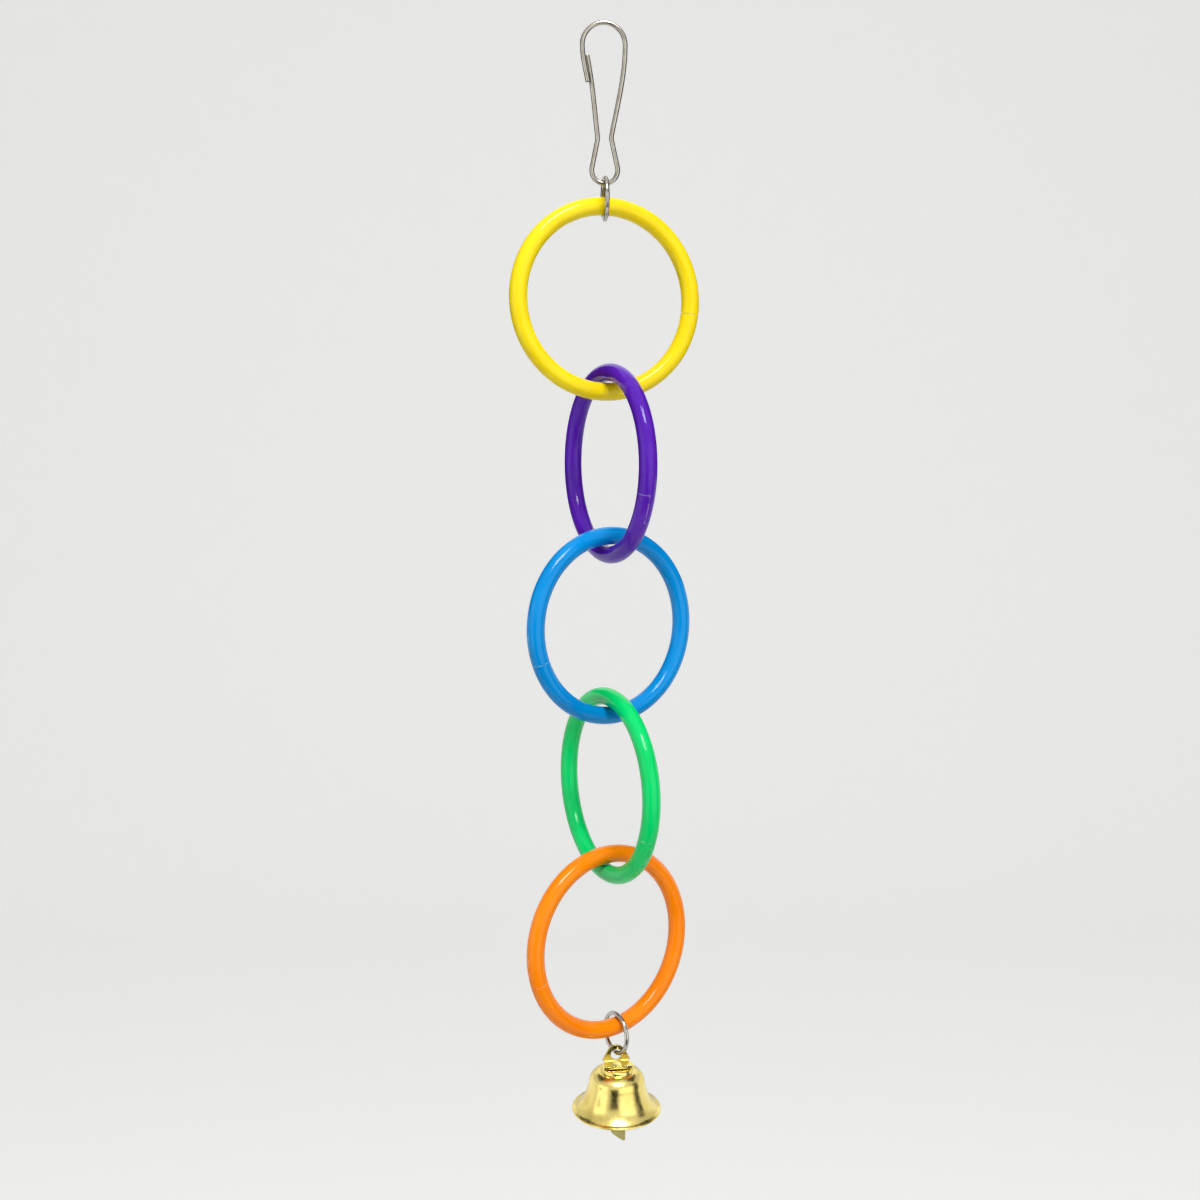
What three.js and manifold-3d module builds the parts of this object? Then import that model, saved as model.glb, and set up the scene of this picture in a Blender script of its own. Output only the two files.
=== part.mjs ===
// Bird ring chain toy: a spring wire hook, five linked plastic rings and a small bell, hanging plumb.
// Millimetres, +Z up. The origin is the top inside bend of the hook, where the toy hangs on a bar.
// +X runs to the right of someone who faces the hook, and +Y away from them.

import * as THREE from 'three';
import { mergeVertices } from 'three/addons/utils/BufferGeometryUtils.js';
import Module from 'manifold-3d';

const wasm = await Module();
wasm.setup();

// Clearance left wherever one piece rests on another
const REST_GAP = 0.3;

// Hook: overall height, outside widths of its two loops, and the heights of what is between them
const HOOK_WIRE = 1.2;
const HOOK_HEIGHT = 39.8;
const HOOK_TOP_WIDTH = 11.7;
const HOOK_LOW_WIDTH = 7.6;
const HOOK_NECK_GAP = 2.2;
const HOOK_NECK_RISE = 11.6;
const HOOK_NECK_BEND = 3;
const HOOK_LEG_SPREAD = 11.5;

// Gate of the hook: the cut end of the wire, and the sprung arm whose tip closes behind it
const HOOK_END_DROP = 13.6;
const HOOK_END_TUCK = 1.3;
const LATCH_TIP_DROP = 6.9;
const LATCH_BESIDE = 1;
const LATCH_SPREAD = 6;
const GATE_GAP = 0.53;

// Split wire rings above the first plastic ring and above the bell
const JUMP_WIDTH = 11.4;
const JUMP_WIRE = 1.2;
const JUMP_JOINT_GAP = 0.15;
const JUMP_JOINT_ANGLE = 150;
const TOP_JUMP_TURN = -84;
const BELL_JUMP_TURN = -58;
const BELL_JUMP_SLID = 2.2;

// Plastic rings, each closed by a half-lap joint
const RING_WIDTH = 50;
const RING_SECTION = 4.5;
const RING_LAP = 7;
const RING_SLIT = 0.12;

// Turn is a ring's angle about the plumb line, slid is how far it has settled along the ring above it,
// and joint is where the near half of its lap starts, from the ring's own right-hand side
const RINGS = [
  { name: 'yellow_ring', colour: 0xf9e327, turn: 20, slid: 0, joint: -8 },
  { name: 'purple_ring', colour: 0x5926a0, turn: -66, slid: 0.4, joint: -17.7 },
  { name: 'blue_ring', colour: 0x068dd5, turn: 36, slid: 0.5, joint: 200 },
  { name: 'green_ring', colour: 0x0bc56a, turn: -63, slid: -1.2, joint: -24.3 },
  { name: 'orange_ring', colour: 0xf98c11, turn: 37, slid: -0.5, joint: 197 },
];

// Bell: pressed sheet with a flared mouth, a rounded shoulder and a low round boss on its crown
const BELL_SHEET = 0.6;
const BELL_MOUTH_WIDTH = 23.1;
const BELL_HEIGHT = 10.9;
const BELL_SHOULDER_WIDTH = 13.4;
const BELL_SHOULDER_BEND = 3;
const BELL_TAPER = 0.11;
const BELL_FLARE_LENGTH = 2.6;
const BOSS_WIDTH = 8.3;
const BOSS_HEIGHT = 1;

// The ear stands behind the bell's axis, so the bell hangs with its crown tipped to the front
const EAR_BACK = 1.3;
const BELL_TILT = 6;
const BELL_TURN = 10;

// Hanger: a folded stamping of an ear, a foot and a tab
const HANGER_SHEET = 0.7;
const EAR_HOLE_WIDTH = 3;
const EAR_HOLE_CLEARANCE = 0.4;
const EAR_RIM = 1;
const EAR_BASE_WIDTH = 7.2;
const EAR_BASE_DROP = 1.7;
const FOOT_FRONT_WIDTH = 8.1;
const FOOT_DEPTH = 3.3;
const FOOT_CORNER = 0.8;
const TAB_WIDTH = 3.6;
const TAB_LENGTH = 4.9;
const TAB_HOLE_WIDTH = 2.4;
const TAB_STRIP = 0.6;

// Clapper: a flat tongue with its neck curled round the strip under the tab's hole
const CLAPPER_SHEET = 0.5;
const CLAPPER_LENGTH = 16.1;
const CURL_BORE = 2;
const NECK_WIDTH = 1;
const NECK_LENGTH = 2;
const TONGUE_WIDTH = 4.2;
const TONGUE_FLARE = 4.5;
const TONGUE_SLANT = 2.3;
const TONGUE_CORNER = 0.6;

// Numbers of facets round a wire, a moulded ring, and the bell
const WIRE_FACETS = 8;
const RING_FACETS = 12;
const RING_STEPS = 52;
const FRAME_STEPS = 90;
const ARM_STEPS = 44;
const JUMP_STEPS = 30;
const BELL_FACETS = 40;
const BELL_RINGS = 6;
const SHOULDER_RINGS = 5;
const SHEET_CURVE_STEPS = 10;

const { degToRad, lerp } = THREE.MathUtils;

const steel = { color: 0xb9b5ae, metalness: 1, roughness: 0.28 };
const brass = { color: 0xdcc24a, metalness: 1, roughness: 0.25 };

// A closed geometry as a solid that can be cut and joined
function toSolid(geometry) {
  const bare = geometry.clone().deleteAttribute('normal').deleteAttribute('uv');
  const merged = mergeVertices(bare, 1e-4);
  const vertProperties = new Float32Array(merged.attributes.position.array);
  const triVerts = new Uint32Array(merged.index.array);
  return new wasm.Manifold(new wasm.Mesh({ numProp: 3, vertProperties, triVerts }));
}

function toGeometry(solid) {
  const mesh = solid.getMesh();
  const geometry = new THREE.BufferGeometry();
  geometry.setAttribute('position', new THREE.BufferAttribute(mesh.vertProperties, 3));
  geometry.setIndex(new THREE.BufferAttribute(mesh.triVerts, 1));
  geometry.computeVertexNormals();
  return geometry;
}

function makePiece(name, geometry, finish) {
  const mesh = new THREE.Mesh(geometry, new THREE.MeshStandardMaterial(finish));
  mesh.name = name;
  return mesh;
}

// Round bend in an upright plane, drifting evenly from one depth to another
class Bend extends THREE.Curve {
  constructor({ x = 0, z = 0, radius, from, to, depthFrom = 0, depthTo = 0 }) {
    super();
    Object.assign(this, { x, z, radius, from, to, depthFrom, depthTo });
  }

  getPoint(t, target = new THREE.Vector3()) {
    const angle = degToRad(lerp(this.from, this.to, t));
    const across = this.radius * Math.cos(angle);
    const up = this.radius * Math.sin(angle);
    return target.set(this.x + across, lerp(this.depthFrom, this.depthTo, t), this.z + up);
  }
}

// Round wire of the given thickness along a path, cut square at its ends
function wireAlong(path, thickness, steps) {
  const section = new THREE.Shape();
  section.absarc(0, 0, thickness / 2, 0, 2 * Math.PI);
  const curveSegments = WIRE_FACETS / 2;
  return new THREE.ExtrudeGeometry(section, { extrudePath: path, steps, curveSegments, bevelEnabled: false });
}

function joinedPath(curves) {
  const path = new THREE.CurvePath();
  curves.forEach((curve) => path.add(curve));
  return path;
}

// Flat sheet cut to an outline in the upright plane, centred on its own thickness
function uprightSheet(outline, thickness) {
  const options = { depth: thickness, curveSegments: SHEET_CURVE_STEPS, bevelEnabled: false };
  const sheet = new THREE.ExtrudeGeometry(outline, options);
  return sheet.translate(0, 0, -thickness / 2).rotateX(Math.PI / 2);
}

// Hook geometry shared by the fixed wire and the latch arm
const hookTopBend = (HOOK_TOP_WIDTH - HOOK_WIRE) / 2;
const hookTopCentre = HOOK_WIRE / 2 - hookTopBend;
const hookLowBend = (HOOK_LOW_WIDTH - HOOK_WIRE) / 2;
const hookLowCentre = HOOK_WIRE * 1.5 - HOOK_HEIGHT + hookLowBend;
const neckLevel = HOOK_WIRE - HOOK_HEIGHT + HOOK_NECK_RISE;
const neckAside = (HOOK_NECK_GAP + HOOK_WIRE) / 2 + HOOK_NECK_BEND;
const gateDepth = Math.sqrt(Math.max((HOOK_WIRE + GATE_GAP) ** 2 - LATCH_BESIDE ** 2, 0)) / 2;

// Angle from level of the straight wire between the lower loop and the neck bend
const neckRise = neckLevel - hookLowCentre;
const neckReach = Math.hypot(neckAside, neckRise);
const shankAngle = THREE.MathUtils.radToDeg(
  Math.atan2(neckRise, neckAside) + Math.asin((hookLowBend + HOOK_NECK_BEND) / neckReach),
);

// Wire from the neck's bend up to the point given, leaving the neck at its spread from plumb
function legFromNeck(side, spread, end, endLean, endDepth) {
  const startAngle = degToRad(side > 0 ? 180 - spread : spread);
  const start = new THREE.Vector3(
    side * neckAside + HOOK_NECK_BEND * Math.cos(startAngle),
    0,
    neckLevel + HOOK_NECK_BEND * Math.sin(startAngle),
  );
  const third = (end.z - start.z) / 3;
  const spreadSlope = side * Math.tan(degToRad(spread));
  const endSlope = side * Math.tan(degToRad(endLean));
  const low = new THREE.Vector3(start.x + third * spreadSlope, endDepth / 2, start.z + third);
  const high = new THREE.Vector3(end.x - third * endSlope, endDepth, end.z - third);
  return new THREE.CubicBezierCurve3(start, low, high, end.clone().setY(endDepth));
}

function neckBend(side, spread) {
  const shank = side > 0 ? 90 + shankAngle : 90 - shankAngle;
  const leg = side > 0 ? 180 - spread : spread;
  return new Bend({ x: side * neckAside, z: neckLevel, radius: HOOK_NECK_BEND, from: shank, to: leg });
}

// Straight wire from the lower loop to the neck's bend
function shank(side) {
  const loopAngle = degToRad(side > 0 ? shankAngle - 90 : 270 - shankAngle);
  const bendAngle = loopAngle + Math.PI;
  const low = new THREE.Vector3(
    hookLowBend * Math.cos(loopAngle),
    0,
    hookLowCentre + hookLowBend * Math.sin(loopAngle),
  );
  const high = new THREE.Vector3(
    side * neckAside + HOOK_NECK_BEND * Math.cos(bendAngle),
    0,
    neckLevel + HOOK_NECK_BEND * Math.sin(bendAngle),
  );
  return new THREE.LineCurve3(low, high);
}

// Cut end of the wire, hanging from the left of the top loop in front of the latch arm
const cutEnd = new THREE.CubicBezierCurve3(
  new THREE.Vector3(-hookTopBend, -gateDepth, hookTopCentre),
  new THREE.Vector3(-hookTopBend, -gateDepth, lerp(hookTopCentre, -HOOK_END_DROP, 1 / 3)),
  new THREE.Vector3(HOOK_END_TUCK / 2 - hookTopBend, -gateDepth, lerp(hookTopCentre, -HOOK_END_DROP, 0.6)),
  new THREE.Vector3(HOOK_END_TUCK - hookTopBend, -gateDepth, -HOOK_END_DROP),
);

function reversed(curve) {
  const back = new THREE.Curve();
  back.getPoint = (t, target) => curve.getPoint(1 - t, target);
  return back;
}

// Fixed wire: cut end, top loop, right leg, neck, and the lower loop to half its left side
function hookFrame() {
  const legTop = new THREE.Vector3(hookTopBend, 0, hookTopCentre);
  const gapAngle = 180 + THREE.MathUtils.radToDeg(REST_GAP / 2 / hookLowBend);
  const path = joinedPath([
    reversed(cutEnd),
    new Bend({ z: hookTopCentre, radius: hookTopBend, from: 180, to: 0, depthFrom: -gateDepth }),
    reversed(legFromNeck(1, HOOK_LEG_SPREAD, legTop, 0, 0)),
    reversed(neckBend(1, HOOK_LEG_SPREAD)),
    reversed(shank(1)),
    new Bend({ z: hookLowCentre, radius: hookLowBend, from: shankAngle - 90, to: gapAngle - 360 }),
  ]);
  return makePiece('hook_frame', wireAlong(path, HOOK_WIRE, FRAME_STEPS), steel);
}

// Sprung arm: the rest of the same wire, from the left side of the lower loop to the tip behind the cut end
function hookLatchArm() {
  const tipShare = (LATCH_TIP_DROP + hookTopCentre) / (HOOK_END_DROP + hookTopCentre);
  const beside = cutEnd.getPoint(THREE.MathUtils.clamp(tipShare, 0, 1));
  const tip = new THREE.Vector3(beside.x + LATCH_BESIDE, 0, -LATCH_TIP_DROP);
  const gapAngle = 180 - THREE.MathUtils.radToDeg(REST_GAP / 2 / hookLowBend);
  const path = joinedPath([
    new Bend({ z: hookLowCentre, radius: hookLowBend, from: gapAngle, to: 270 - shankAngle }),
    shank(-1),
    neckBend(-1, LATCH_SPREAD),
    legFromNeck(-1, LATCH_SPREAD, tip, HOOK_LEG_SPREAD, gateDepth),
  ]);
  return makePiece('hook_latch_arm', wireAlong(path, HOOK_WIRE, ARM_STEPS), steel);
}

// Wire ring in an upright plane, closed by a butt joint
function jumpRingGeometry() {
  const radius = (JUMP_WIDTH - JUMP_WIRE) / 2;
  const halfGap = THREE.MathUtils.radToDeg(JUMP_JOINT_GAP / 2 / radius);
  const path = new Bend({
    radius,
    from: JUMP_JOINT_ANGLE + halfGap,
    to: JUMP_JOINT_ANGLE + 360 - halfGap,
  });
  return wireAlong(path, JUMP_WIRE, JUMP_STEPS);
}

// Slit across one half of a ring's section, square to its wire at the angle given
function halfSlit(bendRadius, angle, side) {
  const depth = RING_SECTION;
  const slit = new THREE.BoxGeometry(2 * RING_SECTION, depth, RING_SLIT);
  slit.translate(bendRadius, (side * (depth - RING_SLIT)) / 2, 0);
  return toSolid(slit.rotateY(-degToRad(angle)));
}

// Moulded ring in an upright plane, slit through by the two steps and the flat of its lap joint
function plasticRingGeometry(joint) {
  const bendRadius = (RING_WIDTH - RING_SECTION) / 2;
  const lapAngle = THREE.MathUtils.radToDeg(RING_LAP / bendRadius);
  const body = new THREE.TorusGeometry(bendRadius, RING_SECTION / 2, RING_FACETS, RING_STEPS);
  const flat = new THREE.Shape();
  flat.absarc(0, 0, bendRadius + RING_SECTION, degToRad(joint - lapAngle), degToRad(joint), false);
  flat.absarc(0, 0, bendRadius - RING_SECTION, degToRad(joint), degToRad(joint - lapAngle), true);
  const slits = toSolid(uprightSheet(flat, RING_SLIT))
    .add(halfSlit(bendRadius, joint, -1))
    .add(halfSlit(bendRadius, joint - lapAngle, 1));
  return toGeometry(toSolid(body.rotateX(Math.PI / 2)).subtract(slits));
}

// Where a link that has slid along the bottom of the one above it meets that one's wire
function hangingPoint(upper, slid) {
  const turn = degToRad(upper.turn);
  return new THREE.Vector3(
    upper.centre.x + slid * Math.cos(turn),
    upper.centre.y + slid * Math.sin(turn),
    upper.centre.z - Math.sqrt(upper.bend ** 2 - slid ** 2),
  );
}

// A round link resting on the bottom of the one above it
function hangLink(upper, { width, section, turn, slid }) {
  const bend = (width - section) / 2;
  const centre = hangingPoint(upper, slid);
  centre.z += (upper.section + section) / 2 + REST_GAP - bend;
  return { centre, bend, section, turn };
}

function placeLink(mesh, link) {
  mesh.position.copy(link.centre);
  mesh.rotation.z = degToRad(link.turn);
  return mesh;
}

// Heights in the hanger's own frame, whose origin is the jump ring's wire in the ear's hole
const earHoleCentre = (JUMP_WIRE - EAR_HOLE_WIDTH) / 2 + EAR_HOLE_CLEARANCE;
const footTop = earHoleCentre - EAR_BASE_DROP;
const footBottom = footTop - HANGER_SHEET;
const bossTop = footBottom - REST_GAP;
const shoulderTop = bossTop - BOSS_HEIGHT;
const rimLevel = shoulderTop - BELL_HEIGHT;
const tabBottom = footBottom - TAB_LENGTH;
const tabStripCentre = tabBottom + TAB_STRIP / 2;

// Outside radius of the bell's wall at a height above its rim
function bellRadius(height) {
  const shoulder = BELL_SHOULDER_WIDTH / 2;
  const flare = BELL_MOUTH_WIDTH / 2 - shoulder - BELL_TAPER * BELL_HEIGHT;
  return shoulder + BELL_TAPER * (BELL_HEIGHT - height) + flare * Math.exp(-height / BELL_FLARE_LENGTH);
}

// One side of the sheet from the rim to the middle of the boss, set in from the outside by an amount
function bellSide(inset) {
  const bend = BELL_SHOULDER_BEND - inset;
  const bendLevel = BELL_HEIGHT - BELL_SHOULDER_BEND;
  const bendAxis = bellRadius(bendLevel) - BELL_SHOULDER_BEND;
  const bossRadius = BOSS_WIDTH / 2 - inset;
  const points = [];
  for (let i = 0; i <= BELL_RINGS; i += 1) {
    const height = (bendLevel * i) / BELL_RINGS;
    points.push(new THREE.Vector2(bellRadius(height) - inset, height));
  }
  for (let i = 1; i <= SHOULDER_RINGS; i += 1) {
    const angle = (Math.PI / 2) * (i / SHOULDER_RINGS);
    points.push(new THREE.Vector2(bendAxis + bend * Math.cos(angle), bendLevel + bend * Math.sin(angle)));
  }
  const bossLevel = BELL_HEIGHT + BOSS_HEIGHT - inset;
  points.push(new THREE.Vector2(bossRadius, BELL_HEIGHT - inset));
  points.push(new THREE.Vector2(bossRadius, bossLevel));
  points.push(new THREE.Vector2(0, bossLevel));
  return points;
}

function bellShell() {
  const profile = [...bellSide(BELL_SHEET).reverse(), ...bellSide(0)];
  const wall = new THREE.LatheGeometry(profile, BELL_FACETS).rotateX(Math.PI / 2);
  wall.translate(0, -EAR_BACK, rimLevel);
  const slot = new THREE.BoxGeometry(TAB_WIDTH + 2 * REST_GAP, HANGER_SHEET + 2 * REST_GAP, 4 * BELL_SHEET);
  slot.translate(0, -EAR_BACK, bossTop);
  return makePiece('bell_shell', toGeometry(toSolid(wall).subtract(toSolid(slot))), brass);
}

// Rounded triangle with a hole, standing on the fold
function earOutline() {
  const arch = EAR_HOLE_WIDTH / 2 + EAR_RIM;
  const cornerX = EAR_BASE_WIDTH / 2;
  const cornerAngle = Math.atan2(-EAR_BASE_DROP, cornerX);
  const tangent = cornerAngle + Math.acos(arch / Math.hypot(cornerX, EAR_BASE_DROP));
  const outline = new THREE.Shape();
  outline.moveTo(-cornerX, footBottom);
  outline.lineTo(cornerX, footBottom);
  outline.lineTo(cornerX, footTop);
  outline.absarc(0, earHoleCentre, arch, tangent, Math.PI - tangent, false);
  outline.lineTo(-cornerX, footTop);
  const hole = new THREE.Path();
  hole.absarc(0, earHoleCentre, EAR_HOLE_WIDTH / 2, 0, 2 * Math.PI);
  outline.holes.push(hole);
  return outline;
}

// Foot seen from above, widening from the fold to its rounded front corners
function footOutline() {
  const back = HANGER_SHEET / 2;
  const front = -(back + FOOT_DEPTH);
  const half = FOOT_FRONT_WIDTH / 2;
  const outline = new THREE.Shape();
  outline.moveTo(EAR_BASE_WIDTH / 2, back);
  outline.lineTo(-EAR_BASE_WIDTH / 2, back);
  outline.lineTo(-half, front + FOOT_CORNER);
  outline.absarc(FOOT_CORNER - half, front + FOOT_CORNER, FOOT_CORNER, Math.PI, 1.5 * Math.PI, false);
  outline.absarc(half - FOOT_CORNER, front + FOOT_CORNER, FOOT_CORNER, -Math.PI / 2, 0, false);
  return outline;
}

// Tab with its hole, rounded at its lower end
function tabOutline() {
  const half = TAB_WIDTH / 2;
  const outline = new THREE.Shape();
  outline.moveTo(half, footTop - HANGER_SHEET / 2);
  outline.lineTo(-half, footTop - HANGER_SHEET / 2);
  outline.absarc(0, tabBottom + half, half, Math.PI, 2 * Math.PI, false);
  const hole = new THREE.Path();
  hole.absarc(0, tabBottom + TAB_STRIP + TAB_HOLE_WIDTH / 2, TAB_HOLE_WIDTH / 2, 0, 2 * Math.PI);
  outline.holes.push(hole);
  return outline;
}

function bellHanger() {
  const foot = new THREE.ExtrudeGeometry(footOutline(), {
    depth: HANGER_SHEET,
    curveSegments: SHEET_CURVE_STEPS,
    bevelEnabled: false,
  });
  const hanger = toSolid(uprightSheet(earOutline(), HANGER_SHEET))
    .add(toSolid(foot.translate(0, 0, footBottom)))
    .add(toSolid(uprightSheet(tabOutline(), HANGER_SHEET).translate(0, -EAR_BACK, 0)));
  return makePiece('bell_hanger', toGeometry(hanger), brass);
}

// The clapper's own frame has its origin at the strip that it hangs on. Its curl first meets
// the strip's edges, where they rise with the round hole beside the neck.
const holeRadius = TAB_HOLE_WIDTH / 2;
const stripRise = holeRadius - Math.sqrt(holeRadius ** 2 - (NECK_WIDTH / 2) ** 2);
const edgeDrop = Math.sqrt((CURL_BORE / 2 - REST_GAP) ** 2 - (HANGER_SHEET / 2) ** 2);
const curlCentre = TAB_STRIP / 2 + stripRise - edgeDrop;
const curlBottom = curlCentre - CURL_BORE / 2 - CLAPPER_SHEET;

// Curl of the neck, a band that runs front to back round the strip
function curlBand() {
  const band = new THREE.Shape();
  band.absarc(0, 0, CURL_BORE / 2 + CLAPPER_SHEET, 0, 2 * Math.PI);
  const bore = new THREE.Path();
  bore.absarc(0, 0, CURL_BORE / 2, 0, 2 * Math.PI);
  band.holes.push(bore);
  const options = { depth: NECK_WIDTH, curveSegments: SHEET_CURVE_STEPS, bevelEnabled: false };
  const curl = new THREE.ExtrudeGeometry(band, options);
  return curl.translate(0, 0, -NECK_WIDTH / 2).rotateY(Math.PI / 2).translate(0, 0, curlCentre);
}

// Tongue that widens from the neck and ends on a slant, with its low corner to the right
function tongueOutline() {
  const top = curlBottom + CLAPPER_SHEET / 2;
  const neckEnd = curlBottom - NECK_LENGTH;
  const fullWidth = neckEnd - TONGUE_FLARE;
  const middle = (neckEnd + fullWidth) / 2;
  const neck = NECK_WIDTH / 2;
  const side = TONGUE_WIDTH / 2;
  const high = TONGUE_SLANT - CLAPPER_LENGTH;
  const low = -CLAPPER_LENGTH;
  const outline = new THREE.Shape();
  outline.moveTo(neck, top);
  outline.lineTo(-neck, top);
  outline.lineTo(-neck, neckEnd);
  outline.bezierCurveTo(-neck, middle, -side, middle, -side, fullWidth);
  outline.lineTo(-side, high + TONGUE_CORNER);
  outline.quadraticCurveTo(-side, high, TONGUE_CORNER - side, high - TONGUE_CORNER / 2);
  outline.lineTo(side - 2 * TONGUE_CORNER, low + TONGUE_CORNER / 4);
  outline.quadraticCurveTo(side, low - TONGUE_CORNER / 4, side, low + 2 * TONGUE_CORNER);
  outline.lineTo(side, fullWidth);
  outline.bezierCurveTo(side, middle, neck, middle, neck, neckEnd);
  return outline;
}

function clapper() {
  const tongue = uprightSheet(tongueOutline(), CLAPPER_SHEET);
  return makePiece('clapper', toGeometry(toSolid(curlBand()).add(toSolid(tongue))), brass);
}

// Assembly, from the hook down
const toy = new THREE.Group();
toy.add(hookFrame(), hookLatchArm());

const lowerLoop = {
  centre: new THREE.Vector3(0, 0, hookLowCentre),
  bend: hookLowBend,
  section: HOOK_WIRE,
  turn: 0,
};
const jump = { width: JUMP_WIDTH, section: JUMP_WIRE };
const topJump = hangLink(lowerLoop, { ...jump, turn: TOP_JUMP_TURN, slid: 0 });
toy.add(placeLink(makePiece('top_jump_ring', jumpRingGeometry(), steel), topJump));

let above = topJump;
for (const { name, colour, turn, slid, joint } of RINGS) {
  const ring = hangLink(above, { width: RING_WIDTH, section: RING_SECTION, turn, slid });
  const plastic = { color: colour, metalness: 0, roughness: 0.25 };
  toy.add(placeLink(makePiece(name, plasticRingGeometry(joint), plastic), ring));
  above = ring;
}

const bellJump = hangLink(above, { ...jump, turn: BELL_JUMP_TURN, slid: BELL_JUMP_SLID });
toy.add(placeLink(makePiece('bell_jump_ring', jumpRingGeometry(), steel), bellJump));

const bell = new THREE.Group();
bell.position.copy(hangingPoint(bellJump, 0));
bell.rotation.z = degToRad(BELL_TURN);
const tippedBell = new THREE.Group();
tippedBell.rotation.x = degToRad(BELL_TILT);
const clapperGroup = new THREE.Group();
clapperGroup.position.set(0, -EAR_BACK, tabStripCentre);
clapperGroup.rotation.x = -degToRad(BELL_TILT);
clapperGroup.add(clapper());
tippedBell.add(bellShell(), bellHanger(), clapperGroup);
bell.add(tippedBell);
toy.add(bell);

export default toy;
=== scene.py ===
# Looks of a bird's hanging toy: a spring wire hook, five linked plastic rings and a small brass bell.
# Meshes are shaped in millimetres and scaled to metres when they are finished. Angles are in degrees.

import bmesh
import bpy
import math
from mathutils import Matrix, Vector


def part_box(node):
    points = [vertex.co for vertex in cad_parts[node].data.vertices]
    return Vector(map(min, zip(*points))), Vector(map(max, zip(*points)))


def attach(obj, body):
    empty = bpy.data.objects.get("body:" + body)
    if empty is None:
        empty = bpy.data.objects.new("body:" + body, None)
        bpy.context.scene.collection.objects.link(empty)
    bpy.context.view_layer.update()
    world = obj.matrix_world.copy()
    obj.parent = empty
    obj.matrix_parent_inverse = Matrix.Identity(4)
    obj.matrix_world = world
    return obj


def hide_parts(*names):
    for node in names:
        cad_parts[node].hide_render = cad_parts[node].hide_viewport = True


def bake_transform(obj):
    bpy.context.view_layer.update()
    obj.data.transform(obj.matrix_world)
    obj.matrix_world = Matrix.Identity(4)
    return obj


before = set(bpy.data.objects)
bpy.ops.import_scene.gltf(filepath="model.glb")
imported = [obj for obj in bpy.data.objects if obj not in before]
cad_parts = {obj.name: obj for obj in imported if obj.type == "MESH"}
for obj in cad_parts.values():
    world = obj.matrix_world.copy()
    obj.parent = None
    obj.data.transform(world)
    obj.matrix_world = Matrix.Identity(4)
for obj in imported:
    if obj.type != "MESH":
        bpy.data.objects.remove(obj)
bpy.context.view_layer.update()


# Spring hook: one nickel-plated spring steel wire, 1.2 mm thick, bent on pins into a large top loop,
# two legs, a narrow neck and a small lower loop. Its long arm springs up behind the wire's cut end
# and is the gate, which bends away from the rest, and the arm is a mesh of its own.
MM = 0.001
WIRE = 1.2
WIRE_SIDES = 24
HOOK_HEIGHT = 39.8
TOP_BEND = 5.25
LOW_BEND = 3.2
NECK_GAP = 2.2
NECK_DROP = 27
NECK_BEND = 3
FRAME_SPREAD = 11.5
ARM_SPREAD = 6
CUT_DROP = 13.6
CUT_TUCK = 1.3
CUT_TURN_SHARE = 0.6
TIP_DROP = 6.9
TIP_BESIDE = 1
GATE_DEPTH = 0.7
DARK_END_LENGTH = 0.3
WIRE_END_ROUND = 0.15
WIRE_END_STEPS = 3
CUT_STEPS = 30
TOP_STEPS = 60
LOW_STEPS = 60
ARM_LOW_STEPS = 16
LEG_STEPS = 50
NECK_STEPS = 12
SAME_PLACE = 1e-4
SMOOTH_UNDER = 40
NOISE_LOW = 0.3
NOISE_HIGH = 0.7
RELIEF_STRENGTH = 0.5

top_centre = WIRE / 2 - TOP_BEND
low_centre = WIRE * 1.5 - HOOK_HEIGHT + LOW_BEND
neck_aside = (NECK_GAP + WIRE) / 2 + NECK_BEND


def linear(colour):
    """An sRGB hex colour as linear red, green, blue and alpha."""
    shares = [int(colour[i : i + 2], 16) / 255 for i in (1, 3, 5)]
    return [s / 12.92 if s <= 0.04045 else ((s + 0.055) / 1.055) ** 2.4 for s in shares] + [1]


def add_node(tree, kind, settings=None, links=None, stops=()):
    """A node with its settings, by property or input, the sockets that feed it, and the steps of its ramp."""
    node = tree.nodes.new(kind)
    for key, value in (settings or {}).items():
        if key in node.inputs:
            node.inputs[key].default_value = value
        else:
            setattr(node, key, value)
    for key, socket in (links or {}).items():
        tree.links.new(socket, node.inputs[key])
    while stops and len(node.color_ramp.elements) < len(stops):
        node.color_ramp.elements.new(0.5)
    for i, (position, colour) in enumerate(stops):
        node.color_ramp.elements[i].position = position
        node.color_ramp.elements[i].color = linear(colour)
    return node


def empty_tree(owner):
    """The node tree of a material or world, with nothing in it yet."""
    owner.use_nodes = True
    owner.node_tree.nodes.clear()
    return owner.node_tree


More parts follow.
